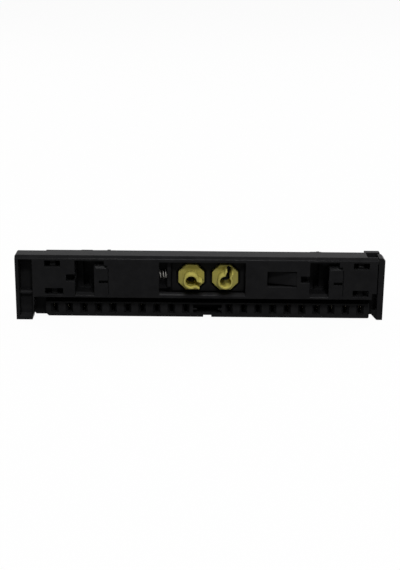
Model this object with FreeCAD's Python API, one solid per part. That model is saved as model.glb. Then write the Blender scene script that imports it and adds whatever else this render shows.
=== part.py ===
import FreeCAD, Part
import math
import os

# Front connector of a programmable controller, 20 ways, lying on its long side.
# X runs along the contact row, Y from the plug side to the screw side, Z up.
# A depth is measured from the plug face into the connector, and y_at() turns it into Y.

V = FreeCAD.Vector

# Clearances
RUN = 0.25  # round the sliding lock
FIT = 0.05  # between pieces that are pushed together

# Straight sides of the rounds that repeat in every way, and of the coding keys
HEAD_STEPS = 12
SHANK_STEPS = 8
KEY_STEPS = 8

# Contact row and its strip
WAYS = 20
PITCH = 4.855
MIDDLE_GAP = 14.34  # between the two middle ways
STRIP_LEFT = 2.9  # from the first way to the left end
STRIP_RIGHT = 3.03  # from the last way to the right end
STRIP_DEPTH = 4.5
STRIP_HEIGHT = 5.05
STRIP_WALL = 2.6  # the wall that the slots go through
STRIP_FOOT = 0.1  # the underside stays this far above the surface
STRIP_BEVEL_LEFT = 0.9  # bottom corners
STRIP_BEVEL_RIGHT = 0.3
SLOT_CORE = 1.0
SLOT_MOUTH = 2.6
SLOT_HEIGHT = 3.2
SLOT_SILL = 1.25  # from the underside of the strip to a slot
FUNNEL_DEPTH = 1.6
KEYWAY_WIDTH = 9.4
KEYWAY_HEIGHT = 3.0
KEYWAY_WELL = 2.0  # how far the body is hollowed behind the keyway
KEYWAY_NOTCH = 2.75  # width of the notch at the strip's underside
KEYWAY_NOTCH_TOP = 2.55
KEYWAY_NOTCH_DEPTH = 2.0
KEYWAY_RIB_LENGTH = 1.3
KEYWAY_RIB_DEPTH = 1.5
KEYWAY_RIB = 0.45

# Cover on the plug side
FACE = 2.0  # thickness of the face
GROOVE_HEIGHT = 2.7  # open groove between the strip and the face
FLOOR_BAND = 0.81  # from the lower edge of the face to the windows
LIP_HEIGHT = 1.39  # top wall, and the sloped lip at its front
LIP_SLOPE = 0.45
LIP_FOOT = 0.2  # the face runs on this far above the foot of the top wall
LIP_BEVEL = 0.28
LIP_WALL = 1.3  # where the top wall is cut away over the slide's neck
COVER_LAP = 0.2  # the top wall reaches this far past the body's wall
TOP_CUT = 3.35  # length of the cut over the neck
LEFT_OVER = 9.27  # from the strip's left end to the cover's left end
END_BLOCK_WIDTH = 5.58
END_BLOCK_DEPTH = 6.2
END_BLOCK_STEP = 4.0  # the shallower back edge runs on this far over the face
END_WALL = 1.15
END_BACK_WALL = 1.2
END_SHELF_DEPTH = 2.4  # from the face to the shelf in the end pocket
END_SHELF = 0.9
END_LOW_DEPTH = 3.8  # the pocket is shallower below its shelf
END_SHELF_HEIGHT = 9.16
END_SHELF_BEVEL = 0.4
END_FOOT = 1.26
END_FOOT_SLANT = 0.75
END_FOOT_SLANT_HEIGHT = 5.0
END_CORNER = 0.3
SIDE_WALL = 0.45
CORNER_WIDTH = 1.5  # cut at the lower right corner of the face
CORNER_HEIGHT = 2.0
NUB_WIDTH = 1.1  # gate marks on the back edge of the top wall
NUB_LENGTH = 0.8
NUB_HEIGHT = 0.6
NUB_INSET_LEFT = 24.2
NUB_INSET_RIGHT = 19.6

# Four snap slots in the face and the hooks of the body that hold the cover
SNAP_INSET_LEFT = 4.1
SNAP_INSET_RIGHT = 2.68
SNAP_WIDTH = 5.15
SNAP_LONGER = 0.8  # what the lower left slot has more
SNAP_EDGE = 0.36  # from the lip to an upper slot
SNAP_FLOOR = 0.95  # from the lower edge of the face to a lower slot
SNAP_HEIGHT = 2.15
SNAP_STEP = 1.65  # depth of the ledge that the nose catches on
HOOK_WIDTH = 1.8
HOOK_ARM = 0.6
HOOK_NOSE = 0.5
HOOK_TOP = 1.3  # from the face down to the tip of a hook

# Latch windows
WINDOW_INSET_LEFT = 13.97
WINDOW_INSET_RIGHT = 22.08
WINDOW_FREE = 6.3  # from the left edge to the tab
WINDOW_TOP = 0.26  # from the lip down to the window
WINDOW_BEVEL = 0.27
WINDOW_DEPTH = 9.5
POCKET_BEHIND_TAB = 1.9
POCKET_WALL = 0.9
POCKET_SLOT_INSET = 1.9  # upright slot in the back of the pocket
POCKET_SLOT = 2.0
POCKET_SLOT_DEPTH = 3.0
POCKET_STEP_INSET = 2.4  # ramp on the floor of the pocket
POCKET_STEP_WIDTH = 3.0
POCKET_STEP_LENGTH = 1.6
POCKET_STEP_HEIGHT = 0.6
TAB_WIDTH = 4.5
TAB_DROP = 1.65  # from the top of the window to the top of the tab
TAB_NOTCH = 3.25
TAB_BEVEL = 1.05  # lead-in at the top of the tab
TAB_BEVEL_SLANT = 0.55  # its two ends lean by this much
TAB_LINE = 0.25  # groove along the right side of the tab
TAB_LINE_DEPTH = 0.5
TAB_SLOT_INSET = 1.6
TAB_SLOT_HEIGHT = 1.05
TAB_SLOT_DROP = 5.05  # from the top of the tab to its slot
TAB_SLOT_DEPTH = 1.5
EAR_LENGTH = 2.85  # side notch at the left of a window
EAR_LIFT = 4.7
EAR_HEIGHT = 2.3
COLLAR = 0.8

# Coding keys and the boss that seats them
KEY_FLATS = 8.5
KEY_SPACING = 11.16
KEY_OFFSET = 0.18  # their middle, to the right of the row's middle
KEY_PLATE = 2.4
KEY_REACH = 2.3  # the collars stand this far out of the plug face
KEY_BORE = 3.7
KEY_RING = 0.6  # wall of the collar and of its two lips
KEY_SLOT = 1.6
KEY_LIP = 3.4  # the lips end at this radius
KEY_SLOT_END = 4.0  # the slot in the plate ends at this radius
LEFT_KEY_ANGLE = -22.5
RIGHT_KEY_ANGLE = 67.5
KEY_GAP = 0.7  # groove round a key in the boss
KEY_SEAT = 0.8  # depth of a key's seat in the wall
BOSS_SET = 0.6  # the keys stand this far out of the boss
BOSS_WALL = 0.6
BOSS_SIDE = 2.1
BOSS_LIFT = 1.46  # from the lower edge of the face to the boss
CODE_EDGE = 0.66  # from the lip down to the coding window
CODE_SILL = 1.5  # from the lower edge of the face to the coding window
CODE_BEVEL = 0.64
CODE_SIDE = 0.2
SPRING_VIEW = 2.6  # length of the spring that shows in the coding window

# Spring tongue of the cover
TONGUE_GAP = 7.35  # from the boss to the tongue's window
TONGUE_LENGTH = 9.6
TONGUE_LIFT = 4.06
TONGUE_HEIGHT = 5.3
TONGUE_SLIT = 0.5
TONGUE_THICK = 1.0
TONGUE_DROP = 3.1
TONGUE_ROOT = 0.3  # how far below the face its root starts

# Locking slide with its release button
TRAVEL = 2.0
SLIDE_THICK = 3.0
RAIL_HEIGHT = 1.06
RAIL_LEFT = 2.9  # the rail starts this far right of the left window's edge
FINGER_INSET = 4.5
FINGER_WIDTH = 2.0
FINGER_LENGTH = 1.0
FINGER_SET = 1.5  # from the front of the slide to a finger
POST_WIDTH = 1.25
BUTTON_WALL = 2.0
BUTTON_SET = 2.3
BUTTON_TOP = 0.69  # below the top of the cover
BUTTON_FOOT = 0.1
BUTTON_BEVEL = 0.7
BUTTON_BACK = 0.5  # gap to the body's face behind it
WEB_SET = 2.9
WEB_WALL = 0.8
WEB_WIDTH = 1.7
WEB_FOOT = 1.9
WEB_TOP = 3.4
PLATE_GAP = 0.68  # seam between the cover and the button

# Return spring
SPRING_OD = 3.2
SPRING_WIRE = 0.42
SPRING_LENGTH = 12.0
SPRING_OPEN_TURNS = 10
SPRING_LEAD = 0.5  # of the closed turn at each end
SPRING_STEPS = 9  # straight lengths of wire to a turn
SPRING_LIFT = 0.75  # its axis above the keys' axis
ABUTMENT = 1.3
SHELF = 0.6
SHELF_DROP = 4.3  # from the spring's axis down to the shelf under it

# Terminal body
DEPTH = 36.0  # plug face to screw face
WALL = 1.5  # wall between the slide and the wire duct
BODY_TOP = 11.3
BODY_BEVEL = 1.6
BODY_LAP = 1.0  # the body reaches this far behind the button
CHEEK_DEPTH = 2.5  # upright wall behind the release button
CHEEK_DROP = 0.45  # below the top of the cover
SHOULDER = 0.5  # the body's left shoulder reaches this far past the face
SHOULDER_BEVEL = 0.6
SHOULDER_BEVEL_HEIGHT = 0.7
CELL_WIDTH = 4.06
CELL_FLOOR = 1.5
CELL_FRONT = 1.0  # wall that closes a cell above the strip
CELL_ROOF = 0.45  # between a cell and the floor of a latch window
ACCESS_WALL = 2.5
ACCESS_BORE = 3.4
ENTRY_WIDTH = 2.7
ENTRY_FLARE = 0.6
ENTRY_FLARE_DEPTH = 1.0

# Contact, clamp and screw of one way
CONTACT_THICK = 0.7
CONTACT_WEB = 2.2
TAIL_WIDTH = 2.5
TAIL_THICK = 0.8
TAIL_TOP = 0.4  # below the cell's roof
ARM_THICK = 0.3
ARM_RECESS = 2.2  # from the strip's wall to the tips of the arms
ARM_LENGTH = 5.6
ARM_TIP = 1.05  # from the tips to the contact point
ARM_HEIGHT = 2.6
ARM_PINCH = 0.45  # half the gap at the contact point
ARM_FLARE = 0.7  # half the gap at the tips
WIRE_SPACE = 2.2
CAGE_WIDTH = 3.86
CAGE_SIDE = 0.5
CAGE_WALL = 1.0
CAGE_OPEN = 5.3
CAGE_LIFT = 0.4  # above the contact's web
CAGE_TOP = 0.5  # below the cell's roof
HEAD_GAP = 0.2
HEAD_DIAMETER = 3.6
HEAD_HEIGHT = 1.3
SCREW_SLOT = 0.6
SCREW_SLOT_DEPTH = 0.7
SHANK_DIAMETER = 2.5
SHANK_LENGTH = 5.1
TIP_GAP = 0.1

# Places along X
ROW_HALF = MIDDLE_GAP / 2 + (WAYS // 2 - 1) * PITCH
RIGHT_OVER = TRAVEL + RUN + BUTTON_WALL
ROW_X = (LEFT_OVER + STRIP_LEFT - STRIP_RIGHT - RIGHT_OVER) / 2
STRIP_X0 = ROW_X - ROW_HALF - STRIP_LEFT
STRIP_X1 = ROW_X + ROW_HALF + STRIP_RIGHT
LEFT_X = STRIP_X0 - LEFT_OVER
BUTTON_X0 = STRIP_X1 + TRAVEL + RUN
BUTTON_X1 = BUTTON_X0 + BUTTON_WALL
FACE_X0 = LEFT_X + END_BLOCK_WIDTH
FACE_X1 = BUTTON_X0 - PLATE_GAP
TRAY_X1 = FACE_X1 - TOP_CUT
BODY_X0 = FACE_X0 + SIDE_WALL + FIT
BODY_X1 = BUTTON_X0 + BODY_LAP
WINDOWS_X = [FACE_X0 + WINDOW_INSET_LEFT, FACE_X1 - WINDOW_INSET_RIGHT]
KEY_LEFT_X = ROW_X + KEY_OFFSET - KEY_SPACING / 2
KEY_RIGHT_X = KEY_LEFT_X + KEY_SPACING
BOSS_X0 = KEY_LEFT_X - KEY_FLATS / 2 - FIT - BOSS_SIDE
BOSS_X1 = KEY_RIGHT_X + KEY_FLATS / 2 + FIT + BOSS_SIDE
POST_X1 = BOSS_X0 - RUN
POST_X0 = POST_X1 - POST_WIDTH
SPRING_X0 = POST_X0 - SPRING_LENGTH
CODE_X0 = POST_X0 - SPRING_VIEW
CODE_X1 = BOSS_X1 + CODE_SIDE
TONGUE_X0 = BOSS_X1 + TONGUE_GAP
TONGUE_X1 = TONGUE_X0 + TONGUE_LENGTH

# Depths from the plug face
SLIDE_S0 = FACE + RUN
SLIDE_S1 = SLIDE_S0 + SLIDE_THICK
WALL_S0 = SLIDE_S1 + RUN
WALL_S1 = WALL_S0 + WALL
COVER_S1 = WALL_S1 + COVER_LAP
STRIP_S0 = WEB_SET + WEB_WALL + RUN
BODY_S0 = STRIP_S0 + STRIP_DEPTH
BUTTON_S1 = BODY_S0 - BUTTON_BACK
KEY_S0 = WALL_S0 - KEY_PLATE
KEY_S1 = WALL_S0 + KEY_SEAT
BOSS_S0 = KEY_S0 + BOSS_SET
HEAD_S1 = DEPTH - ACCESS_WALL - HEAD_GAP
HEAD_S0 = HEAD_S1 - HEAD_HEIGHT
SCREW_S0 = HEAD_S0 - SHANK_LENGTH
TAIL_S1 = SCREW_S0 - TIP_GAP
TAIL_S0 = TAIL_S1 - TAIL_THICK
CAGE_S0 = TAIL_S0 - WIRE_SPACE
CONTACT_S0 = STRIP_S0 + STRIP_WALL + ARM_RECESS

# Heights
STRIP_Z1 = STRIP_FOOT + STRIP_HEIGHT
FACE_Z0 = STRIP_Z1 + GROOVE_HEIGHT
WINDOW_Z0 = FACE_Z0 + FLOOR_BAND
BOSS_Z0 = FACE_Z0 + BOSS_LIFT
KEY_Z = BOSS_Z0 + BOSS_WALL + FIT + KEY_FLATS / 2
BOSS_Z1 = KEY_Z + KEY_FLATS / 2 + FIT + BOSS_WALL
RAIL_Z0 = BOSS_Z1 + RUN
RAIL_Z1 = RAIL_Z0 + RAIL_HEIGHT
LIP_Z0 = RAIL_Z1 + RUN
HEIGHT = LIP_Z0 + LIP_HEIGHT
WINDOW_Z1 = LIP_Z0 - WINDOW_TOP
TAB_Z1 = WINDOW_Z1 - TAB_DROP
SPRING_Z = KEY_Z + SPRING_LIFT
SHELF_Z = SPRING_Z - SHELF_DROP
CELL_Z1 = WINDOW_Z0 - CELL_ROOF
CAGE_Z0 = CELL_FLOOR + CONTACT_THICK + CAGE_LIFT
CAGE_Z1 = CELL_Z1 - CAGE_TOP
SCREW_Z = (CAGE_Z0 + CAGE_Z1) / 2

# The origin lies under the middle of the whole connector
PLUG_Y = (KEY_REACH - DEPTH) / 2


def y_at(depth):
    """Y of a depth behind the plug face."""
    return PLUG_Y + depth


def box(x0, x1, s0, s1, z0, z1):
    """A block between two X, two depths and two heights."""
    return Part.makeBox(x1 - x0, s1 - s0, z1 - z0, V(x0, y_at(s0), z0))


def prism(points, step):
    """A closed outline pushed along a vector."""
    wire = Part.makePolygon(points + points[:1])
    return Part.Face(wire).extrude(step)


def across(outline, x0, x1):
    """An outline of (depth, height) points pushed along X."""
    return prism([V(x0, y_at(s), z) for s, z in outline], V(x1 - x0, 0, 0))


def inward(outline, s0, s1):
    """An outline of (x, height) points pushed into the connector."""
    return prism([V(x, y_at(s0), z) for x, z in outline], V(0, s1 - s0, 0))


def upright(outline, z0, z1):
    """An outline of (x, depth) points pushed upwards."""
    return prism([V(x, y_at(s), z0) for x, s in outline], V(0, 0, z1 - z0))


def bore(x, z, diameter, s0, s1):
    """A cylinder along the depth."""
    return Part.makeCylinder(diameter / 2, s1 - s0, V(x, y_at(s0), z), V(0, 1, 0))


def flatted(x, z, diameter, flats, s0, s1):
    """A small round along the depth, drawn with flats that touch its diameter."""
    radius = diameter / 2 / math.cos(math.pi / flats)
    turns = [(corner + 0.5) * 2 * math.pi / flats for corner in range(flats)]
    outline = [(x + radius * math.cos(a), z + radius * math.sin(a)) for a in turns]
    return inward(outline, s0, s1)


def loft(lower, upper):
    """A straight-sided solid between two outlines with as many points each."""
    wires = [Part.makePolygon(points + points[:1]) for points in (lower, upper)]
    return Part.makeLoft(wires, True, True)


def way_x(index):
    """X of one way, counted from the left."""
    half = WAYS // 2
    if index < half:
        return ROW_X - MIDDLE_GAP / 2 - (half - 1 - index) * PITCH
    return ROW_X + MIDDLE_GAP / 2 + (index - half) * PITCH


def snap_places():
    """Left edge, foot, width and side of the nose of each snap slot."""
    left = FACE_X0 + SNAP_INSET_LEFT
    right = FACE_X1 - SNAP_INSET_RIGHT - SNAP_WIDTH
    upper = LIP_Z0 - SNAP_EDGE - SNAP_HEIGHT
    lower = FACE_Z0 + SNAP_FLOOR
    return [
        (left, upper, SNAP_WIDTH, 1),
        (left, lower, SNAP_WIDTH + SNAP_LONGER, -1),
        (right, upper, SNAP_WIDTH, 1),
        (right, lower, SNAP_WIDTH, -1),
    ]


def snap_arm(z, side):
    """Heights of a hook's arm, which lies along the slot's inner edge."""
    if side > 0:
        return z + FIT, z + FIT + HOOK_ARM
    return z + SNAP_HEIGHT - FIT - HOOK_ARM, z + SNAP_HEIGHT - FIT


def snap_slot(x, z, width, side):
    """The opening of one snap slot, round the ledge that the nose catches on."""
    opening = box(x, x + width, 0, FACE, z, z + SNAP_HEIGHT)
    low, high = snap_arm(z, side)
    ledge = (high + FIT, z + SNAP_HEIGHT) if side > 0 else (z, low - FIT)
    middle = x + width / 2
    half = HOOK_WIDTH / 2
    return opening.cut(box(middle - half, middle + half, SNAP_STEP, FACE, *ledge))


def snap_hook(x, z, width, side):
    """One hook of the body, with its nose on the step of the slot."""
    middle = x + width / 2
    low, high = snap_arm(z, side)
    tip = high + HOOK_NOSE if side > 0 else low - HOOK_NOSE
    edge = high if side > 0 else low
    back = low if side > 0 else high
    nose = SNAP_STEP - FIT
    outline = [
        (WALL_S0, back),
        (HOOK_TOP, back),
        (HOOK_TOP, edge),
        (nose, tip),
        (nose, edge),
        (WALL_S0, edge),
    ]
    return across(outline, middle - HOOK_WIDTH / 2, middle + HOOK_WIDTH / 2)


def end_block():
    """The hollow block at the left end of the cover."""
    inner = FACE_X0 + SIDE_WALL
    outline = [
        (LEFT_X, 0),
        (inner - END_FOOT_SLANT, 0),
        (inner, END_FOOT_SLANT_HEIGHT),
        (inner, HEIGHT),
        (LEFT_X + END_CORNER, HEIGHT),
        (LEFT_X, HEIGHT - END_CORNER),
    ]
    block = inward(outline, 0, END_BLOCK_DEPTH)
    pocket_x0 = LEFT_X + END_WALL
    upper = box(pocket_x0, FACE_X0, 0, END_BLOCK_DEPTH - END_BACK_WALL, END_SHELF_HEIGHT, LIP_Z0)
    s = END_SHELF_DEPTH
    z = END_SHELF_HEIGHT
    lower = box(pocket_x0, FACE_X0, 0, END_LOW_DEPTH, END_FOOT, z)
    lower = lower.cut(box(pocket_x0, FACE_X0, s, END_LOW_DEPTH, z - END_SHELF, z))
    bevel = across([(s, z - END_SHELF_BEVEL), (s + END_SHELF_BEVEL, z), (s, z)], pocket_x0, FACE_X0)
    behind = box(LEFT_X, inner, END_LOW_DEPTH + END_BACK_WALL, END_BLOCK_DEPTH, 0, z - END_BACK_WALL)
    return block.cut([upper, lower, bevel, behind])


def cover_tray():
    """Face, floor and top wall of the cover, with the cut over the slide's neck."""
    section = [
        (0, FACE_Z0),
        (0, HEIGHT),
        (COVER_S1, HEIGHT),
        (COVER_S1, LIP_Z0),
        (FACE, LIP_Z0),
        (FACE, WINDOW_Z0),
        (WALL_S0, WINDOW_Z0),
        (WALL_S0, FACE_Z0),
    ]
    tray = across(section, FACE_X0, TRAY_X1)
    over_neck = [
        (0, FACE_Z0),
        (0, HEIGHT),
        (LIP_WALL, HEIGHT),
        (LIP_WALL, LIP_Z0),
        (FACE, LIP_Z0),
        (FACE, FACE_Z0),
    ]
    tray = tray.fuse(across(over_neck, TRAY_X1, FACE_X1))
    side = box(FACE_X0, FACE_X0 + SIDE_WALL, 0, WALL_S0, FACE_Z0, HEIGHT)
    step = box(FACE_X0, FACE_X0 + END_BLOCK_STEP, END_BLOCK_DEPTH, COVER_S1, LIP_Z0, HEIGHT)
    corner = box(FACE_X1 - CORNER_WIDTH, FACE_X1, 0, FACE, FACE_Z0, FACE_Z0 + CORNER_HEIGHT)
    nubs = []
    for x in (FACE_X0 + NUB_INSET_LEFT, FACE_X1 - NUB_INSET_RIGHT):
        nubs.append(box(x, x + NUB_WIDTH, COVER_S1, COVER_S1 + NUB_LENGTH, HEIGHT - NUB_HEIGHT, HEIGHT))
    return tray.fuse([side] + nubs).cut([step, corner])


def sill(z, bevel, x0, x1):
    """What a bevel takes off the lower edge of an opening in the face."""
    return across([(0, z - bevel), (bevel, z), (0, z)], x0, x1)


def latch_window(x):
    """Everything that one latch window takes out of the face."""
    tab_x0 = x + WINDOW_FREE
    outline = [
        (x, WINDOW_Z0),
        (tab_x0, WINDOW_Z0),
        (tab_x0, TAB_Z1),
        (tab_x0 + TAB_NOTCH, TAB_Z1),
        (tab_x0 + TAB_NOTCH, WINDOW_Z1),
        (x, WINDOW_Z1),
    ]
    ear_z = WINDOW_Z0 + EAR_LIFT
    ear = box(x - EAR_LENGTH, x, 0, FACE, ear_z, ear_z + EAR_HEIGHT)
    return [inward(outline, 0, FACE), ear, sill(WINDOW_Z0, WINDOW_BEVEL, x, tab_x0)]


def latch_tab(x):
    """What shapes the tab beside a latch window: its lead-in, the groove at its side and its slot."""
    x0 = x + WINDOW_FREE
    x1 = x0 + TAB_WIDTH
    low = TAB_Z1 - TAB_BEVEL
    lean = TAB_BEVEL_SLANT
    front = inward([(x0 + lean, low), (x1 - lean, low), (x1, TAB_Z1), (x0, TAB_Z1)], 0, TAB_BEVEL)
    lead_in = front.common(sill(TAB_Z1, TAB_BEVEL, x0, x1))
    line = box(x1, x1 + TAB_LINE, 0, TAB_LINE_DEPTH, WINDOW_Z0, low)
    slot_z1 = TAB_Z1 - TAB_SLOT_DROP
    slot = box(x0 + TAB_SLOT_INSET, x1, 0, TAB_SLOT_DEPTH, slot_z1 - TAB_SLOT_HEIGHT, slot_z1)
    return [lead_in, line, slot]


def window_collar(x):
    """The wall beside a latch window, which seats the cover on the body."""
    wall = box(x - COLLAR, x, FACE, WALL_S0, WINDOW_Z0, BOSS_Z1)
    ear_z = WINDOW_Z0 + EAR_LIFT
    return wall.cut(box(x - COLLAR, x, FACE, WALL_S0, ear_z, ear_z + EAR_HEIGHT))


def tongue():
    """The springy tongue that leans into the cover from its root at the right."""
    lean = (TONGUE_DROP - TONGUE_ROOT) / TONGUE_LENGTH
    tip = TONGUE_X0 + TONGUE_SLIT
    root = TONGUE_X1 + TONGUE_THICK
    front = TONGUE_DROP - lean * TONGUE_SLIT
    outline = [
        (root, TONGUE_ROOT),
        (TONGUE_X1, TONGUE_ROOT),
        (tip, front),
        (tip, front + TONGUE_THICK),
        (TONGUE_X1, TONGUE_ROOT + TONGUE_THICK),
        (root, TONGUE_ROOT + TONGUE_THICK),
    ]
    z0 = FACE_Z0 + TONGUE_LIFT + TONGUE_SLIT
    return upright(outline, z0, z0 + TONGUE_HEIGHT - 2 * TONGUE_SLIT)


def plug_cover():
    """The moulded cover on the plug side."""
    cover = cover_tray().fuse(end_block())
    cuts = [snap_slot(*place) for place in snap_places()]
    for x in WINDOWS_X:
        cuts += latch_window(x) + latch_tab(x)
    code_z = FACE_Z0 + CODE_SILL
    cuts.append(box(CODE_X0, CODE_X1, 0, FACE, code_z, LIP_Z0 - CODE_EDGE))
    cuts.append(sill(code_z, CODE_BEVEL, CODE_X0, CODE_X1))
    tongue_z = FACE_Z0 + TONGUE_LIFT
    cuts.append(box(TONGUE_X0, TONGUE_X1, 0, FACE, tongue_z, tongue_z + TONGUE_HEIGHT))
    lip_z = LIP_Z0 + LIP_FOOT
    slope = [(0, lip_z), (LIP_BEVEL, lip_z + LIP_BEVEL), (LIP_BEVEL + LIP_SLOPE, HEIGHT), (0, HEIGHT)]
    cuts.append(across(slope, LEFT_X, FACE_X1))
    cover = cover.cut(cuts)
    return cover.fuse([tongue()] + [window_collar(x) for x in WINDOWS_X])


def key_pocket(x):
    """The octagonal seat of a coding key in the wall, with the wider opening in the boss."""
    opening = octagon(x, KEY_FLATS + 2 * KEY_GAP, BOSS_S0, WALL_S0)
    return octagon(x, KEY_FLATS + 2 * FIT, WALL_S0, KEY_S1).fuse(opening)


def octagon(x, flats, s0, s1):
    """An octagonal prism along the depth, standing on a flat."""
    return flatted(x, KEY_Z, flats, KEY_STEPS, s0, s1)


def latch_pocket(x):
    """Outside and inside of the deep pocket behind a latch window, with its slot and floor ramp."""
    x1 = x + WINDOW_FREE + POCKET_BEHIND_TAB
    wall = POCKET_WALL
    top = RAIL_Z1 - wall
    slot_x0 = x + POCKET_SLOT_INSET
    slot_x1 = slot_x0 + POCKET_SLOT
    slot_s = WINDOW_DEPTH + POCKET_SLOT_DEPTH
    outer = box(x - wall, x1 + wall, WALL_S0, WINDOW_DEPTH + wall, CELL_Z1, RAIL_Z1)
    outer = outer.fuse(box(slot_x0 - wall, slot_x1 + wall, WINDOW_DEPTH, slot_s + wall, CELL_Z1, RAIL_Z1))
    inner = box(x, x1, WALL_S0, WINDOW_DEPTH, WINDOW_Z0, top)
    inner = inner.fuse(box(slot_x0, slot_x1, WINDOW_DEPTH, slot_s, WINDOW_Z0, top))
    step_x = x + POCKET_STEP_INSET
    step_s = WINDOW_DEPTH - POCKET_STEP_LENGTH
    rise = POCKET_STEP_HEIGHT
    ramp = [
        (step_s, WINDOW_Z0),
        (step_s + rise, WINDOW_Z0 + rise),
        (slot_s, WINDOW_Z0 + rise),
        (slot_s, WINDOW_Z0),
    ]
    return outer, inner.cut(across(ramp, step_x, step_x + POCKET_STEP_WIDTH))


def body_shell():
    """Block, bridge and wall of the body, with what stands on the wall."""
    section = [
        (BODY_S0, 0),
        (DEPTH, 0),
        (DEPTH, BODY_TOP - BODY_BEVEL),
        (DEPTH - BODY_BEVEL, BODY_TOP),
        (BODY_S0, BODY_TOP),
    ]
    block = across(section, BODY_X0, BODY_X1)
    bridge = box(BODY_X0, STRIP_X1, WALL_S0, BODY_S0, CELL_Z1, BODY_TOP)
    wall = box(BODY_X0, STRIP_X1, WALL_S0, WALL_S1, CELL_Z1, RAIL_Z1)
    cheek = box(TRAY_X1, BODY_X1, BODY_S0, BODY_S0 + CHEEK_DEPTH, BODY_TOP, HEIGHT - CHEEK_DROP)
    shoulder_x = FACE_X0 - SHOULDER
    outline = [
        (shoulder_x, SHOULDER_BEVEL_HEIGHT),
        (shoulder_x + SHOULDER_BEVEL, 0),
        (STRIP_X0 - FIT, 0),
        (STRIP_X0 - FIT, CELL_Z1),
        (shoulder_x, CELL_Z1),
    ]
    shoulder = inward(outline, END_BLOCK_DEPTH + FIT, BODY_S0)
    boss = box(BOSS_X0, BOSS_X1, BOSS_S0, WALL_S0, BOSS_Z0, BOSS_Z1)
    post_z = (SPRING_Z - SPRING_OD / 2, SPRING_Z + SPRING_OD / 2)
    abutment = box(SPRING_X0 - ABUTMENT, SPRING_X0, SLIDE_S0, WALL_S0, *post_z)
    shelf_s = SLIDE_S0 + SLIDE_THICK / 2
    shelf = box(SPRING_X0 - ABUTMENT, POST_X0, shelf_s, WALL_S0, SHELF_Z - SHELF, SHELF_Z)
    pockets = [latch_pocket(x) for x in WINDOWS_X]
    hooks = [snap_hook(*place) for place in snap_places()]
    outers = [outer for outer, inner in pockets]
    shell = block.fuse([bridge, wall, cheek, shoulder, boss, abutment, shelf] + hooks + outers)
    seats = [key_pocket(x) for x in (KEY_LEFT_X, KEY_RIGHT_X)]
    return shell.cut([inner for outer, inner in pockets] + seats)


def level_rectangle(x, half, s0, s1, z):
    """Corners of a rectangle that lies flat at one height."""
    return [V(x + side * half, y_at(s), z) for side, s in ((-1, s0), (1, s0), (1, s1), (-1, s1))]


def wire_entry(x):
    """A wire entry with its flared mouth, above the wire space of one clamp."""
    s0 = CAGE_S0 + FIT
    s1 = TAIL_S0 - FIT
    half = ENTRY_WIDTH / 2
    shaft = box(x - half, x + half, s0, s1, CELL_Z1, BODY_TOP)
    throat = level_rectangle(x, half, s0, s1, BODY_TOP - ENTRY_FLARE_DEPTH)
    mouth = level_rectangle(x, half + ENTRY_FLARE, s0 - ENTRY_FLARE, s1 + ENTRY_FLARE, BODY_TOP)
    return shaft.fuse(loft(throat, mouth))


def terminal_body():
    """The main moulding: 20 cells, wire entries, and the wall that carries the cover."""
    key_x = (ROW_X - KEYWAY_WIDTH / 2, ROW_X + KEYWAY_WIDTH / 2)
    key_z = STRIP_FOOT + SLOT_SILL
    cuts = [box(*key_x, BODY_S0, BODY_S0 + KEYWAY_WELL, key_z, key_z + KEYWAY_HEIGHT)]
    for way in range(WAYS):
        x = way_x(way)
        half = CELL_WIDTH / 2
        front = BODY_S0 + CELL_FRONT
        cuts.append(box(x - half, x + half, BODY_S0, front, CELL_FLOOR, key_z + SLOT_HEIGHT))
        cuts.append(box(x - half, x + half, front, DEPTH - ACCESS_WALL, CELL_FLOOR, CELL_Z1))
        cuts.append(flatted(x, SCREW_Z, ACCESS_BORE, HEAD_STEPS, DEPTH - ACCESS_WALL, DEPTH))
        cuts.append(wire_entry(x))
    return body_shell().cut(cuts)


def strip_slot(x):
    """A contact slot with its lead-in, and the cavity of the contact's arms behind it."""
    z0 = STRIP_FOOT + SLOT_SILL
    z1 = z0 + SLOT_HEIGHT
    core = SLOT_CORE / 2
    mouth = SLOT_MOUTH / 2
    throat = STRIP_S0 + FUNNEL_DEPTH
    inner = STRIP_S0 + STRIP_WALL
    outline = [
        (x - mouth, STRIP_S0),
        (x - core, throat),
        (x - core, inner),
        (x + core, inner),
        (x + core, throat),
        (x + mouth, STRIP_S0),
    ]
    half = CONTACT_WEB / 2 + ARM_THICK + FIT
    cavity = box(x - half, x + half, inner, BODY_S0, z0, z1)
    return upright(outline, z0, z1).fuse(cavity)


def keyway():
    """The opening in the middle of the strip, with a rib at each end and a notch in the lower edge."""
    half = KEYWAY_WIDTH / 2
    z0 = STRIP_FOOT + SLOT_SILL
    recess = box(ROW_X - half, ROW_X + half, STRIP_S0, BODY_S0, z0, z0 + KEYWAY_HEIGHT)
    low = KEYWAY_NOTCH / 2
    high = KEYWAY_NOTCH_TOP / 2
    outline = [(ROW_X - low, STRIP_FOOT), (ROW_X + low, STRIP_FOOT), (ROW_X + high, z0), (ROW_X - high, z0)]
    notch = inward(outline, STRIP_S0, STRIP_S0 + KEYWAY_NOTCH_DEPTH)
    rib_z = z0 + (KEYWAY_HEIGHT - KEYWAY_RIB) / 2
    rib_s = STRIP_S0 + KEYWAY_RIB_DEPTH
    ribs = []
    for x in (ROW_X - half, ROW_X + half - KEYWAY_RIB_LENGTH):
        ribs.append(box(x, x + KEYWAY_RIB_LENGTH, STRIP_S0, rib_s, rib_z, rib_z + KEYWAY_RIB))
    return recess.cut(ribs).fuse(notch)


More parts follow.
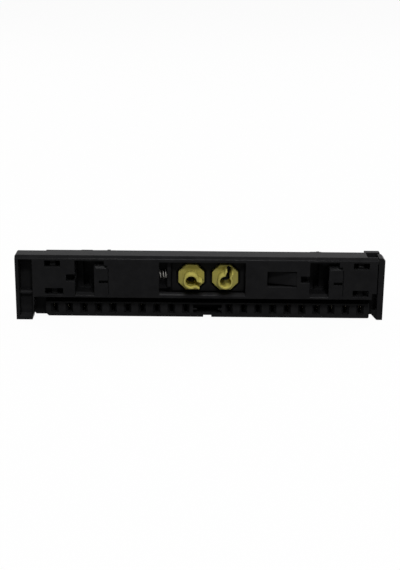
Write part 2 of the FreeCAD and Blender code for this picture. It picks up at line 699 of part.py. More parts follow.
def contact_strip():
    """The strip that closes the cells on the plug side."""
    outline = [
        (STRIP_X0 + STRIP_BEVEL_LEFT, STRIP_FOOT),
        (STRIP_X1 - STRIP_BEVEL_RIGHT, STRIP_FOOT),
        (STRIP_X1, STRIP_FOOT + STRIP_BEVEL_RIGHT),
        (STRIP_X1, STRIP_Z1),
        (STRIP_X0, STRIP_Z1),
        (STRIP_X0, STRIP_FOOT + STRIP_BEVEL_LEFT),
    ]
    strip = inward(outline, STRIP_S0, BODY_S0)
    return strip.cut([strip_slot(way_x(way)) for way in range(WAYS)] + [keyway()])


def contact_arm(x, side):
    """One spring arm of a fork: it closes to the contact point and opens at the tip."""
    root = CONTACT_WEB / 2
    tip_s = CONTACT_S0
    pinch_s = tip_s + ARM_TIP
    root_s = tip_s + ARM_LENGTH
    inner = [(ARM_FLARE, tip_s), (ARM_PINCH, pinch_s), (root - ARM_THICK, root_s)]
    outer = [(offset + ARM_THICK, s) for offset, s in reversed(inner)]
    outline = [(x + side * offset, s) for offset, s in inner + outer]
    return upright(outline, CELL_FLOOR, CELL_FLOOR + ARM_HEIGHT)


def contact(x):
    """Fork, web and busbar tail of one way, stamped from one strip."""
    half = CONTACT_WEB / 2
    web_s = CONTACT_S0 + ARM_LENGTH - ARM_THICK
    web = box(x - half, x + half, web_s, TAIL_S1, CELL_FLOOR, CELL_FLOOR + CONTACT_THICK)
    tail_half = TAIL_WIDTH / 2
    tail = box(x - tail_half, x + tail_half, TAIL_S0, TAIL_S1, CELL_FLOOR, CELL_Z1 - TAIL_TOP)
    return web.fuse([tail, contact_arm(x, -1), contact_arm(x, 1)])


def clamp(x):
    """The cage that a terminal screw draws up round the busbar and the wire."""
    half = CAGE_WIDTH / 2
    inner = half - CAGE_SIDE
    s1 = CAGE_S0 + CAGE_OPEN
    cage = box(x - half, x + half, CAGE_S0 - CAGE_WALL, s1 + CAGE_WALL, CAGE_Z0, CAGE_Z1)
    window = box(x - inner, x + inner, CAGE_S0, s1, CAGE_Z0, CAGE_Z1)
    thread = flatted(x, SCREW_Z, SHANK_DIAMETER + 2 * FIT, SHANK_STEPS, s1, s1 + CAGE_WALL)
    return cage.cut([window, thread])


def terminal_screw(x):
    """A slotted screw, held in its cell by the narrower access bore."""
    head = flatted(x, SCREW_Z, HEAD_DIAMETER, HEAD_STEPS, HEAD_S0, HEAD_S1)
    half = HEAD_DIAMETER
    slot_s = HEAD_S1 - SCREW_SLOT_DEPTH
    slot_z = SCREW_Z - SCREW_SLOT / 2
    slot = box(x - half, x + half, slot_s, HEAD_S1, slot_z, slot_z + SCREW_SLOT)
    shank = flatted(x, SCREW_Z, SHANK_DIAMETER, SHANK_STEPS, SCREW_S0, HEAD_S0)
    return head.cut(slot).fuse(shank)


def lock_slide():
    """Rail, fingers and spring post of the lock, in one piece with the release button."""
    rail_x0 = WINDOWS_X[0] + RAIL_LEFT
    slide = box(rail_x0, BUTTON_X0, SLIDE_S0, SLIDE_S1, RAIL_Z0, RAIL_Z1)
    hanging = []
    for x in WINDOWS_X:
        x0 = x + FINGER_INSET
        foot = RAIL_Z0 - FINGER_LENGTH
        hanging.append(box(x0, x0 + FINGER_WIDTH, SLIDE_S0 + FINGER_SET, SLIDE_S1, foot, RAIL_Z0))
    hanging.append(box(POST_X0, POST_X1, SLIDE_S0, SLIDE_S1, SHELF_Z + RUN, RAIL_Z0))
    web = [
        (BUTTON_X0, BUTTON_FOOT),
        (BUTTON_X0, WEB_TOP),
        (BUTTON_X0 - WEB_WIDTH, WEB_TOP),
        (BUTTON_X0 - WEB_WIDTH, WEB_FOOT),
    ]
    hanging.append(inward(web, WEB_SET, WEB_SET + WEB_WALL))
    top = HEIGHT - BUTTON_TOP
    pad = [
        (BUTTON_X0, BUTTON_FOOT),
        (BUTTON_X1, BUTTON_FOOT),
        (BUTTON_X1, top - BUTTON_BEVEL),
        (BUTTON_X1 - BUTTON_BEVEL, top),
        (BUTTON_X0, top),
    ]
    hanging.append(inward(pad, BUTTON_SET, BUTTON_S1))
    return slide.fuse(hanging)


def return_spring():
    """A coil spring along X between the body's abutment and the post, with a closed turn at each end."""
    half = SPRING_WIRE / 2
    radius = SPRING_OD / 2 - half
    pitch = (SPRING_LENGTH - SPRING_WIRE - 2 * SPRING_LEAD) / SPRING_OPEN_TURNS
    places = [SPRING_X0 + half]
    for lead in [SPRING_LEAD] + [pitch] * SPRING_OPEN_TURNS + [SPRING_LEAD]:
        places += [places[-1] + lead * (step + 1) / SPRING_STEPS for step in range(SPRING_STEPS)]
    axis_y = y_at(SLIDE_S0 + SLIDE_THICK / 2)
    corners = [(-half, -half), (half, -half), (half, half), (-half, half)]
    rings = []
    for step, x in enumerate(places):
        turn = 2 * math.pi * step / SPRING_STEPS
        ring = []
        for along, out in corners:
            reach = radius + out
            ring.append(V(x + along, axis_y + reach * math.cos(turn), SPRING_Z + reach * math.sin(turn)))
        rings.append(ring)
    faces = [rings[0][::-1], rings[-1]]
    for ring, after in zip(rings, rings[1:]):
        for side in range(len(corners)):
            beside = (side + 1) % len(corners)
            faces.append([ring[side], ring[beside], after[beside]])
            faces.append([ring[side], after[beside], after[side]])
    shell = Part.Shell([Part.Face(Part.makePolygon(points + points[:1])) for points in faces])
    return Part.Solid(shell)


def coding_key(x, angle):
    """An octagonal plate with a slotted collar that stands out of the plug face."""
    ring = KEY_BORE / 2 + KEY_RING
    lip = KEY_SLOT / 2 + KEY_RING
    plate = octagon(x, KEY_FLATS, KEY_S0, KEY_S1)
    collar = bore(x, KEY_Z, 2 * ring, -KEY_REACH, KEY_S0)
    lips = box(x, x + KEY_LIP, -KEY_REACH, KEY_S0, KEY_Z - lip, KEY_Z + lip)
    opening = bore(x, KEY_Z, KEY_BORE, -KEY_REACH, KEY_S1)
    half = KEY_SLOT / 2
    slot = box(x, x + KEY_SLOT_END, -KEY_REACH, KEY_S1, KEY_Z - half, KEY_Z + half)
    turned = [collar, lips, opening, slot]
    for shape in turned:
        shape.rotate(V(x, 0, KEY_Z), V(0, -1, 0), angle)
    return plate.fuse([collar, lips]).cut([opening, slot])


def save(shape, name):
    """One cleaned solid, or a group of them, in a file of its own."""
    shape.removeSplitter().exportStep(os.path.join("parts", name + ".step"))


def main():
    os.makedirs("parts", exist_ok=True)
    save(plug_cover(), "plug_cover")
    save(terminal_body(), "terminal_body")
    save(contact_strip(), "contact_strip")
    save(lock_slide(), "lock_slide")
    save(return_spring(), "return_spring")
    save(coding_key(KEY_LEFT_X, LEFT_KEY_ANGLE), "coding_key_left")
    save(coding_key(KEY_RIGHT_X, RIGHT_KEY_ANGLE), "coding_key_right")
    for way in range(WAYS):
        save(contact(way_x(way)), f"contact_{way + 1:02d}")
        save(clamp(way_x(way)), f"clamp_{way + 1:02d}")
    screws = [terminal_screw(way_x(way)) for way in range(WAYS)]
    save(Part.makeCompound(screws), "terminal_screws")


main()
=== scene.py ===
"""Looks of a 20-way front connector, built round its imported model."""

import math

import bmesh
import bpy
from mathutils import Matrix, Vector


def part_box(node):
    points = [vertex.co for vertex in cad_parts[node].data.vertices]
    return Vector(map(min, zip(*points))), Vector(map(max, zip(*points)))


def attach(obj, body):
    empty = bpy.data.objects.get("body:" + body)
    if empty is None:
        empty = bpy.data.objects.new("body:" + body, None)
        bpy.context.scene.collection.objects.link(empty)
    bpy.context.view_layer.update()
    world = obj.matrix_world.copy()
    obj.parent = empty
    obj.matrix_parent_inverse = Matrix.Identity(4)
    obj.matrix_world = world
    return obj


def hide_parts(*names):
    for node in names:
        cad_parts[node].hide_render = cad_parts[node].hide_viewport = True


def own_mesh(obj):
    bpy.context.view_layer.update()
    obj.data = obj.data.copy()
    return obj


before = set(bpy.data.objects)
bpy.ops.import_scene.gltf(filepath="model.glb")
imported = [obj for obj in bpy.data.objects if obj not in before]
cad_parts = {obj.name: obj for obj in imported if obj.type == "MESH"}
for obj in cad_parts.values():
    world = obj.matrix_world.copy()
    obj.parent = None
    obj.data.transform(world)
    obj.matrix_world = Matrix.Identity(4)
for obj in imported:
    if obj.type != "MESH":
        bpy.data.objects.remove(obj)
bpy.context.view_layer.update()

bl_info = {
    "name": "Front connector",
    "version": (1, 0, 0),
    "blender": (4, 5, 0),
    "location": "View3D > Sidebar > Connector",
    "description": "Dresses a 20-way front connector and sets up its studio",
    "category": "Object",
}

MM = 0.001
WAYS = 20

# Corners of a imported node's triangles that are this near are joined
JOIN_GAP = 0.002 * MM
# Edges that turn by more than this are rounded, in this many facets
SHARP_ANGLE = math.radians(35)
EDGE_FACETS = 2

# Sides of a screw's head and of the spring's wire, and steps of one turn of the spring
HEAD_SIDES = 32
WIRE_SIDES = 12
TURN_STEPS = 28
# A face of a screw is flat on top or below when its normal is this upright
UPRIGHT = 0.9
# Tolerances in metres for cutting a screw's slot and for finding its rim
CUT_TOLERANCE = 1e-7
RIM_TOLERANCE = 1e-6

# Colour sockets of the Mix node, which share their names with its other sockets
MIX_FROM, MIX_TO, MIX_RESULT = 6, 7, 2

# From the middle of the floor to its sides, in metres, and the nearest that the camera sees
FLOOR_REACH = 4.0
NEAR_LIMIT = 10 * MM
# Soft boxes: name, setting of the power, width, height and place in metres. The steep edge light
# shines off the sloped edges, the front light throws the lip's shadow on the keys, and the back
# lights show the wiring side.
LAMPS = (
    ("top_light", "top_power", 0.6, 0.6, (0.3, -0.02, 1.0)),
    ("edge_light", "edge_power", 0.3, 0.07, (0.0, -0.315, 0.99)),
    ("front_light", "front_power", 0.15, 0.15, (0.12, -0.73, 0.76)),
    ("fill_light", "fill_power", 0.7, 0.7, (0.25, -1.0, 0.27)),
    ("left_back_light", "back_power", 0.5, 0.5, (-0.75, 0.7, 0.5)),
    ("right_back_light", "back_power", 0.5, 0.5, (0.75, 0.7, 0.5)),
)


# Settings that a user may change

def linear(code):
    """Linear colour of an sRGB hex value."""
    shares = [int(code[start:start + 2], 16) / 255 for start in (1, 3, 5)]
    return [s / 12.92 if s <= 0.04045 else ((s + 0.055) / 1.055) ** 2.4 for s in shares] + [1.0]


def length(label, text, millimetres):
    """A length property, in the scene's metres."""
    return bpy.props.FloatProperty(
        name=label, description=text, default=millimetres * MM, subtype="DISTANCE", unit="LENGTH"
    )


def angle(label, text, degrees):
    """An angle property, in radians."""
    return bpy.props.FloatProperty(
        name=label, description=text, default=math.radians(degrees), subtype="ANGLE"
    )


def watts(label, text, power):
    """A property for the power of a lamp."""
    return bpy.props.FloatProperty(name=label, description=text, default=power, subtype="POWER")


def colour(label, text, code):
    """A colour property."""
    return bpy.props.FloatVectorProperty(
        name=label, description=text, default=linear(code), size=4, subtype="COLOR", min=0, max=1
    )


class ConnectorSizes(bpy.types.PropertyGroup):
    """Sizes of the rounded edges, the spring and the screws"""

    cover_edge: length("Cover edge", "Edge radius of the cover and the slide", 0.13)
    body_edge: length("Body edge", "Edge radius of the terminal body", 0.13)
    strip_edge: length("Strip edge", "Edge radius of the contact strip", 0.1)
    key_edge: length("Key edge", "Edge radius of the coding keys", 0.13)
    wire: length("Spring wire", "Diameter of the spring wire", 0.42)
    lead: length("Closed lead", "Advance of a closed end turn of the spring", 0.5)
    open_turns: bpy.props.IntProperty(
        name="Open turns", description="Turns of the spring between its closed ends",
        default=10, min=1
    )
    head_slot: length("Screw slot", "Width of a screw's slot", 0.6)
    head_slot_depth: length("Slot depth", "Depth of a screw's slot", 0.7)
    head_height: length("Head height", "Height of a screw head", 1.3)
    head: length("Screw head", "Diameter of a screw head", 3.6)
    shank: length("Screw shank", "Diameter of a screw's shank", 2.5)
    head_edge: length("Head edge", "Edge radius of a screw head", 0.12)


class ConnectorColours(bpy.types.PropertyGroup):
    """Colours of the materials and of the floor"""

    polyamide: colour("Polyamide", "Black of the cover, body and slide", "#1b1b1c")
    polyamide_pale: colour("Polyamide, pale", "Where fibres come near the surface", "#29292a")
    # The strip's black and its flow marks are set paler than the cover's: painted light that makes
    # up for the shade the cover's overhang casts on the strip
    strip: colour("Strip", "Black of the contact strip", "#212122")
    strip_pale: colour("Strip, pale", "Flow marks of the contact strip", "#303031")
    key: colour("Coding key", "Khaki of the coding keys", "#cfc568")
    key_deep: colour("Coding key, deep", "Darker flow marks in the khaki", "#bfb55c")
    steel: colour("Spring steel", "Drawn wire", "#8e8c87")
    tin: colour("Tinned brass", "Plating of the contacts", "#a39e8c")
    zinc: colour("Zinc plate", "Plating of clamps and screws", "#b7babf")
    floor: colour("Floor", "Paper of the floor, as it lights the connector", "#888888")
    floor_seen: colour("Floor, seen", "Paper of the floor, as the camera sees it", "#f3f3f3")


class StudioSettings(bpy.types.PropertyGroup):
    """Camera and light of the studio"""

    lens: bpy.props.FloatProperty(
        name="Lens", description="Focal length in millimetres", default=72.63, unit="CAMERA"
    )
    distance: length("Distance", "From the camera to the middle of the plug face", 376.6)
    elevation: angle("Elevation", "Height of the camera above the horizon", 17.4)
    roll: angle("Roll", "Lean of the camera", 0.52)
    aim_x: length("Aim across", "Middle of the picture, along the row", -0.06)
    aim_z: length("Aim height", "Middle of the picture, above the floor", 12.5)
    depth: length("Depth", "From the plug face to the screw face", 36.0)
    top_power: watts("Top light", "Power of the light above", 0.8)
    edge_power: watts("Edge light", "Power of the steep light on the sloped edges", 3.7)
    front_power: watts("Front light", "Power of the light on the plug face", 2.8)
    fill_power: watts("Fill light", "Power of the low light in front", 0.3)
    back_power: watts("Back lights", "Power of each light on the wiring side", 4.5)
    sky: bpy.props.FloatProperty(
        name="Room light", description="Strength of the even light", default=0.1, min=0
    )
    shadow: bpy.props.FloatProperty(
        name="Shadow", description="Share of the floor that takes shadow",
        default=0.04, min=0, max=1, subtype="FACTOR"
    )


# Materials

def add_node(tree, kind, inputs=None, **settings):
    """Adds a node with its settings, and sets or links its sockets, each by name or number."""
    made = tree.nodes.new(kind)
    for name, value in settings.items():
        setattr(made, name, value)
    for name, value in (inputs or {}).items():
        if isinstance(value, bpy.types.NodeSocket):
            tree.links.new(value, made.inputs[name])
        else:
            made.inputs[name].default_value = value
    return made


def blank_material(name):
    """A material and its empty tree."""
    material = bpy.data.materials.new(name)
    material.use_nodes = True
    tree = material.node_tree
    tree.nodes.clear()
    return material, tree


def per_mm(size):
    """Scale of a noise whose marks are about this many millimetres wide."""
    return 1 / (size * MM)


def black_moulding(name, deep, pale):
    """A filled black plastic from a spark-eroded tool: nearly black, with a fine even grain."""
    material, tree = blank_material(name)
    place = add_node(tree, "ShaderNodeTexCoord").outputs["Object"]
    # Fibre marks a few millimetres long shift the black a little
    fibre = add_node(
        tree, "ShaderNodeTexNoise", {"Vector": place, "Scale": per_mm(3.0), "Detail": 5.0}
    )
    tone = add_node(
        tree, "ShaderNodeMix",
        {"Factor": fibre.outputs["Fac"], MIX_FROM: deep, MIX_TO: pale}, data_type="RGBA"
    )
    # The gloss changes in patches about a millimetre wide
    sheen = add_node(
        tree, "ShaderNodeTexNoise", {"Vector": place, "Scale": per_mm(1.2), "Detail": 3.0}
    )
    dull = add_node(
        tree, "ShaderNodeMapRange", {"Value": sheen.outputs["Fac"], "To Min": 0.15, "To Max": 0.22}
    )
    # The tool's grain is about 0.1 mm and drawn at 0.3 mm so that it shows
    grain = add_node(
        tree, "ShaderNodeTexNoise", {"Vector": place, "Scale": per_mm(0.3), "Detail": 2.0}
    )
    bump = add_node(
        tree, "ShaderNodeBump",
        {"Height": grain.outputs["Fac"], "Strength": 0.08, "Distance": 0.02 * MM}
    )
    # The low specular level keeps the black deep in a white room
    shader = add_node(
        tree, "ShaderNodeBsdfPrincipled",
        {
            "Base Color": tone.outputs[MIX_RESULT],
            "Roughness": dull.outputs["Result"],
            "Specular IOR Level": 0.009,
            "Normal": bump.outputs["Normal"],
        },
    )
    add_node(tree, "ShaderNodeOutputMaterial", {"Surface": shader.outputs["BSDF"]})
    return material


def moulded_pbt(colours):
    """Unfilled polyester of the coding keys: khaki, satin, with faint flow marks."""
    material, tree = blank_material("moulded_khaki_polyester")
    place = add_node(tree, "ShaderNodeTexCoord").outputs["Object"]
    # Flow marks a few millimetres wide are both darker and duller
    flow = add_node(
        tree, "ShaderNodeTexNoise",
        {"Vector": place, "Scale": per_mm(2.5), "Detail": 4.0, "Distortion": 0.6}
    )
    tone = add_node(
        tree, "ShaderNodeMix",
        {"Factor": flow.outputs["Fac"], MIX_FROM: colours.key, MIX_TO: colours.key_deep},
        data_type="RGBA"
    )
    dull = add_node(
        tree, "ShaderNodeMapRange", {"Value": flow.outputs["Fac"], "To Min": 0.2, "To Max": 0.28}
    )
    # The tool's grain is about 0.1 mm and drawn at 0.4 mm so that it shows
    grain = add_node(
        tree, "ShaderNodeTexNoise", {"Vector": place, "Scale": per_mm(0.4), "Detail": 2.0}
    )
    bump = add_node(
        tree, "ShaderNodeBump",
        {"Height": grain.outputs["Fac"], "Strength": 0.1, "Distance": 0.02 * MM}
    )
    shader = add_node(
        tree, "ShaderNodeBsdfPrincipled",
        {
            "Base Color": tone.outputs[MIX_RESULT],
            "Roughness": dull.outputs["Result"],
            "Specular IOR Level": 0.15,
            "Normal": bump.outputs["Normal"],
        },
    )
    add_node(tree, "ShaderNodeOutputMaterial", {"Surface": shader.outputs["BSDF"]})
    return material


def metal(name, tint, smooth, dull, mark):
    """A metal whose gloss goes from smooth to dull in cloudy patches this many millimetres wide."""
    material, tree = blank_material(name)
    place = add_node(tree, "ShaderNodeTexCoord").outputs["Object"]
    cloud = add_node(
        tree, "ShaderNodeTexNoise", {"Vector": place, "Scale": per_mm(mark), "Detail": 4.0}
    )
    gloss = add_node(
        tree, "ShaderNodeMapRange",
        {"Value": cloud.outputs["Fac"], "To Min": smooth, "To Max": dull}
    )
    # Rolling and drawing marks are finer than 0.1 mm and drawn at 0.25 mm so that they show
    scratch = add_node(
        tree, "ShaderNodeTexNoise", {"Vector": place, "Scale": per_mm(0.25), "Detail": 2.0}
    )
    bump = add_node(
        tree, "ShaderNodeBump",
        {"Height": scratch.outputs["Fac"], "Strength": 0.2, "Distance": 0.01 * MM}
    )
    shader = add_node(
        tree, "ShaderNodeBsdfPrincipled",
        {
            "Base Color": tint,
            "Metallic": 1.0,
            "Roughness": gloss.outputs["Result"],
            "Normal": bump.outputs["Normal"],
        },
    )
    add_node(tree, "ShaderNodeOutputMaterial", {"Surface": shader.outputs["BSDF"]})
    return material


def tinned_brass(colours):
    """Tinned brass of the contacts, pressed from strip: warm grey and rather dull."""
    return metal("tinned_brass", colours.tin, smooth=0.4, dull=0.55, mark=1.5)


def zinc_plate(colours):
    """Zinc plate of clamps and screws, made once: pale, bluish and fairly bright."""
    name = "zinc_plated_steel"
    made = bpy.data.materials.get(name)
    return made or metal(name, colours.zinc, smooth=0.25, dull=0.42, mark=0.8)


def spring_steel(colours):
    """Drawn steel of the return spring: mid grey with a soft gloss along the wire."""
    return metal("drawn_spring_steel", colours.steel, smooth=0.38, dull=0.5, mark=0.6)


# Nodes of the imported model

def dress(node, material):
    """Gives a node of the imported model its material."""
    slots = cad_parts[node].data.materials
    slots.clear()
    slots.append(material)


def round_edges(node, width):
    """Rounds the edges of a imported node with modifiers, after joining its triangles."""
    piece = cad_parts[node]
    weld = piece.modifiers.new("join", "WELD")
    weld.merge_threshold = JOIN_GAP
    edge = piece.modifiers.new("edges", "BEVEL")
    edge.width = width
    edge.segments = EDGE_FACETS
    edge.limit_method = "ANGLE"
    edge.angle_limit = SHARP_ANGLE
    edge.use_clamp_overlap = False
    edge.miter_outer = "MITER_ARC"


class CONNECTOR_OT_mouldings(bpy.types.Operator):
    """Dress the black mouldings: cover, body, contact strip and slide"""

    bl_idname = "connector.mouldings"
    bl_label = "Black mouldings"

    def execute(self, context):
        sizes = context.scene.connector_sizes
        colours = context.scene.connector_colours
        polyamide = black_moulding(
            "moulded_black_polyamide", colours.polyamide, colours.polyamide_pale
        )
        # The strip's paler black is painted light, making up for the shade under the cover's
        # overhang
        polyester = black_moulding("moulded_black_polyester", colours.strip, colours.strip_pale)
        finishes = {
            "plug_cover": (polyamide, sizes.cover_edge),
            "lock_slide": (polyamide, sizes.cover_edge),
            "terminal_body": (polyamide, sizes.body_edge),
            "contact_strip": (polyester, sizes.strip_edge),
        }
        for node, (black, width) in finishes.items():
            dress(node, black)
            round_edges(node, width)
        return {"FINISHED"}


class CONNECTOR_OT_coding_keys(bpy.types.Operator):
    """Dress the two coding keys"""

    bl_idname = "connector.coding_keys"
    bl_label = "Coding keys"

    def execute(self, context):
        khaki = moulded_pbt(context.scene.connector_colours)
        for node in ("coding_key_left", "coding_key_right"):
            dress(node, khaki)
            round_edges(node, context.scene.connector_sizes.key_edge)
        return {"FINISHED"}


class CONNECTOR_OT_contacts(bpy.types.Operator):
    """Dress the contacts and the clamps of all ways"""

    bl_idname = "connector.contacts"
    bl_label = "Contacts and clamps"

    def execute(self, context):
        colours = context.scene.connector_colours
        tin = tinned_brass(colours)
        zinc = zinc_plate(colours)
        for way in range(1, WAYS + 1):
            dress(f"contact_{way:02d}", tin)
            dress(f"clamp_{way:02d}", zinc)
        return {"FINISHED"}


# New pieces

def new_piece(name, bm, smooth=True):
    """An object at the origin from a finished bmesh."""
    for face in bm.faces:
        face.smooth = smooth
    mesh = bpy.data.meshes.new(name)
    bm.to_mesh(mesh)
    bm.free()
    piece = bpy.data.objects.new(name, mesh)
    bpy.context.scene.collection.objects.link(piece)
    return piece


def only_verts(parts):
    """The vertices among the parts that an operator gives back."""
    return [part for part in parts if isinstance(part, bmesh.types.BMVert)]


def one_screw(sizes, shank_length):
    """A slotted screw with the underside of its head at the origin and its tip below."""
    bm = bmesh.new()
    lower = sizes.head_height - sizes.head_slot_depth
    radius = sizes.head / 2
    bmesh.ops.create_cone(
        bm, cap_ends=True, segments=HEAD_SIDES, radius1=radius, radius2=radius, depth=lower,
        matrix=Matrix.Translation((0, 0, lower / 2))
    )
    # The slot's two sides are cut into the top, and the halves beside it are raised
    for side in (-1, 1):
        tops = [face for face in bm.faces if face.normal.z > UPRIGHT]
        rim = dict.fromkeys(part for face in tops for part in (*face.verts, *face.edges))
        bmesh.ops.bisect_plane(
            bm, geom=list(rim) + tops, dist=CUT_TOLERANCE,
            plane_co=(0, side * sizes.head_slot / 2, 0), plane_no=(0, 1, 0)
        )
    tops = [face for face in bm.faces if face.normal.z > UPRIGHT]
    halves = [face for face in tops if abs(face.calc_center_median().y) > sizes.head_slot / 2]
    raised = bmesh.ops.extrude_face_region(bm, geom=halves)["geom"]
    bmesh.ops.translate(bm, verts=only_verts(raised), vec=(0, 0, sizes.head_slot_depth))
    rim_height = sizes.head_height - RIM_TOLERANCE
    crown = [edge for edge in bm.edges if all(vert.co.z > rim_height for vert in edge.verts)]
    bmesh.ops.bevel(
        bm, geom=crown, offset=sizes.head_edge, offset_type="OFFSET", segments=EDGE_FACETS,
        profile=0.5, affect="EDGES", material=-1
    )
    # The shank is drawn out of the underside
    below = [face for face in bm.faces if face.normal.z < -UPRIGHT]
    bmesh.ops.inset_individual(
        bm, faces=below, thickness=radius - sizes.shank / 2, use_even_offset=True
    )
    drawn = bmesh.ops.extrude_face_region(bm, geom=below)["geom"]
    bmesh.ops.translate(bm, verts=only_verts(drawn), vec=(0, 0, -shank_length))
    return bm


class CONNECTOR_OT_screws(bpy.types.Operator):
    """Turn the terminal screws with round, slotted heads"""

    bl_idname = "connector.screws"
    bl_label = "Terminal screws"

    def execute(self, context):
        sizes = context.scene.connector_sizes
        low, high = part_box("terminal_screws")
        bm = one_screw(sizes, high.y - low.y - sizes.head_height)
        pattern = bm.verts[:] + bm.edges[:] + bm.faces[:]
        lay = Matrix.Rotation(math.radians(-90), 4, "X")
        for way in range(1, WAYS + 1):
            cage_low, cage_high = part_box(f"clamp_{way:02d}")
            middle = (cage_low + cage_high) / 2
            seat = Matrix.Translation(
                (middle.x, high.y - sizes.head_height, (low.z + high.z) / 2)
            )
            copy = bmesh.ops.duplicate(bm, geom=pattern)["geom"]
            bmesh.ops.transform(bm, matrix=seat @ lay, verts=only_verts(copy))
        bmesh.ops.delete(bm, geom=only_verts(pattern), context="VERTS")
        bmesh.ops.recalc_face_normals(bm, faces=bm.faces)
        piece = new_piece("terminal_screw_set", bm, smooth=False)
        piece.data.materials.append(zinc_plate(context.scene.connector_colours))
        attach(piece, "connector")
        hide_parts("terminal_screws")
        return {"FINISHED"}


class CONNECTOR_OT_spring(bpy.types.Operator):
    """Wind the return spring from round wire, with closed end turns"""

    bl_idname = "connector.spring"
    bl_label = "Return spring"

    def execute(self, context):
        sizes = context.scene.connector_sizes
        wire = sizes.wire
        low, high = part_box("return_spring")
        middle = (low + high) / 2
        radius = (high.z - low.z - wire) / 2
        span = high.x - low.x
        pitch = (span - wire - 2 * sizes.lead) / sizes.open_turns
        bm = bmesh.new()
        start = Matrix.Translation((low.x + wire / 2, middle.y + radius, middle.z))
        bmesh.ops.create_circle(
            bm, cap_ends=False, radius=wire / 2, segments=WIRE_SIDES, matrix=start
        )
        last = bm.verts[:] + bm.edges[:]
        # A closed turn, the open turns and a closed turn, each from the end of the one before
        for turns, lead in ((1, sizes.lead), (sizes.open_turns, pitch), (1, sizes.lead)):
            spun = bmesh.ops.spin(
                bm, geom=last, cent=middle, axis=(1, 0, 0), dvec=(lead / TURN_STEPS, 0, 0),
                angle=2 * math.pi * turns, steps=TURN_STEPS * turns,
                use_merge=False, use_duplicate=False
            )
            last = spun["geom_last"]
        bmesh.ops.holes_fill(bm, edges=[edge for edge in bm.edges if edge.is_boundary], sides=0)
        bmesh.ops.recalc_face_normals(bm, faces=bm.faces)
        piece = new_piece("spring_coil", bm)
        piece.data.materials.append(spring_steel(context.scene.connector_colours))
        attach(piece, "connector")
        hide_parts("return_spring")
        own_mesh(piece)
        return {"FINISHED"}


# Studio

def looking(place, direction):
    """Stands a camera or lamp at a place and points it along a direction."""
    return Matrix.Translation(place) @ direction.to_track_quat("-Z", "Y").to_matrix().to_4x4()


def add_camera(scene, studio, aim):
    """The camera, in front of the plug face and a little above it."""
    back = Vector((0, -math.cos(studio.elevation), math.sin(studio.elevation)))
    camera = bpy.data.objects.new("camera", bpy.data.cameras.new("camera"))
    scene.collection.objects.link(camera)
    camera.data.lens = studio.lens
    camera.data.clip_start = NEAR_LIMIT
    level = looking(aim + back * studio.distance, -back)
    camera.matrix_world = level @ Matrix.Rotation(studio.roll, 4, "Z")
    scene.camera = camera


def add_lamp(scene, name, power, width, height, place, aim):
    """A soft box that points at the connector."""
    lamp = bpy.data.lights.new(name, "AREA")
    lamp.energy = power
    lamp.shape = "RECTANGLE"
    lamp.size = width
    lamp.size_y = height
    holder = bpy.data.objects.new(name, lamp)
    scene.collection.objects.link(holder)
    holder.matrix_world = looking(place, aim - place)


def seen_directly(tree):
    """One for what the camera, metal or glass sees, and zero for light that falls on the object."""
    ray = add_node(tree, "ShaderNodeLightPath").outputs
    either = add_node(
        tree, "ShaderNodeMath", {0: ray["Is Camera Ray"], 1: ray["Is Glossy Ray"]},
        operation="MAXIMUM"
    )
    any_of = add_node(
        tree, "ShaderNodeMath", {0: either.outputs[0], 1: ray["Is Transmission Ray"]},
        operation="MAXIMUM"
    )
    return any_of.outputs[0]


def paper(colours, shadow):
    """White paper that the camera sees as white, apart from a light shadow."""
    material, tree = blank_material("white_paper")
    bounce = add_node(tree, "ShaderNodeBsdfDiffuse", {"Color": colours.floor})
    lit = add_node(tree, "ShaderNodeBsdfDiffuse", {"Color": colours.floor_seen})
    white = add_node(tree, "ShaderNodeEmission", {"Strength": 1.0})
    seen = add_node(
        tree, "ShaderNodeMixShader", {"Fac": 1 - shadow, 1: lit.outputs[0], 2: white.outputs[0]}
    )
    mix = add_node(
        tree, "ShaderNodeMixShader",
        {"Fac": seen_directly(tree), 1: bounce.outputs[0], 2: seen.outputs[0]},
    )
    add_node(tree, "ShaderNodeOutputMaterial", {"Surface": mix.outputs[0]})
    return material


def light_room(scene, strength):
    """An even room light, seen as white."""
    world = bpy.data.worlds.new("room")
    scene.world = world
    world.use_nodes = True
    tree = world.node_tree
    tree.nodes.clear()
    white = linear("#ffffff")
    soft = add_node(tree, "ShaderNodeBackground", {"Color": white, "Strength": strength})
    seen = add_node(tree, "ShaderNodeBackground", {"Color": white, "Strength": 1.0})
    mix = add_node(
        tree, "ShaderNodeMixShader",
        {"Fac": seen_directly(tree), 1: soft.outputs[0], 2: seen.outputs[0]},
    )
    add_node(tree, "ShaderNodeOutputWorld", {"Surface": mix.outputs[0]})


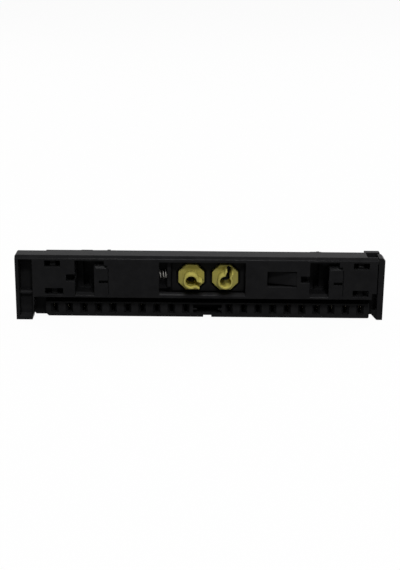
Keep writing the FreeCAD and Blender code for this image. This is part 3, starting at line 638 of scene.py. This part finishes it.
class CONNECTOR_OT_studio(bpy.types.Operator):
    """Set up floor, lights and camera"""

    bl_idname = "connector.studio"
    bl_label = "Studio"

    def execute(self, context):
        scene = context.scene
        studio = scene.connector_studio
        scene.view_settings.view_transform = "Standard"
        plug_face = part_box("terminal_body")[1].y - studio.depth
        aim = Vector((studio.aim_x, plug_face, studio.aim_z))
        add_camera(scene, studio, aim)
        bm = bmesh.new()
        bmesh.ops.create_grid(bm, x_segments=1, y_segments=1, size=FLOOR_REACH)
        floor = new_piece("floor", bm, smooth=False)
        floor.data.materials.append(paper(scene.connector_colours, studio.shadow))
        for name, power, width, height, place in LAMPS:
            add_lamp(scene, name, getattr(studio, power), width, height, Vector(place), aim)
        light_room(scene, studio.sky)
        return {"FINISHED"}


# Panel and registration

STEPS = (
    CONNECTOR_OT_studio,
    CONNECTOR_OT_mouldings,
    CONNECTOR_OT_coding_keys,
    CONNECTOR_OT_contacts,
    CONNECTOR_OT_screws,
    CONNECTOR_OT_spring,
)
GROUPS = {
    "connector_sizes": ConnectorSizes,
    "connector_colours": ConnectorColours,
    "connector_studio": StudioSettings,
}


class CONNECTOR_PT_panel(bpy.types.Panel):
    """The steps that dress the connector"""

    bl_label = "Front connector"
    bl_space_type = "VIEW_3D"
    bl_region_type = "UI"
    bl_category = "Connector"

    def draw(self, context):
        for step in STEPS:
            self.layout.operator(step.bl_idname)


def register():
    for kind in (*GROUPS.values(), *STEPS, CONNECTOR_PT_panel):
        bpy.utils.register_class(kind)
    for name, group in GROUPS.items():
        setattr(bpy.types.Scene, name, bpy.props.PointerProperty(type=group))


def unregister():
    for name in GROUPS:
        delattr(bpy.types.Scene, name)
    for kind in (CONNECTOR_PT_panel, *STEPS, *GROUPS.values()):
        bpy.utils.unregister_class(kind)


def main():
    register()
    bpy.ops.connector.studio()
    bpy.ops.connector.mouldings()
    bpy.ops.connector.coding_keys()
    bpy.ops.connector.contacts()
    bpy.ops.connector.screws()
    bpy.ops.connector.spring()


if __name__ == "__main__":
    main()
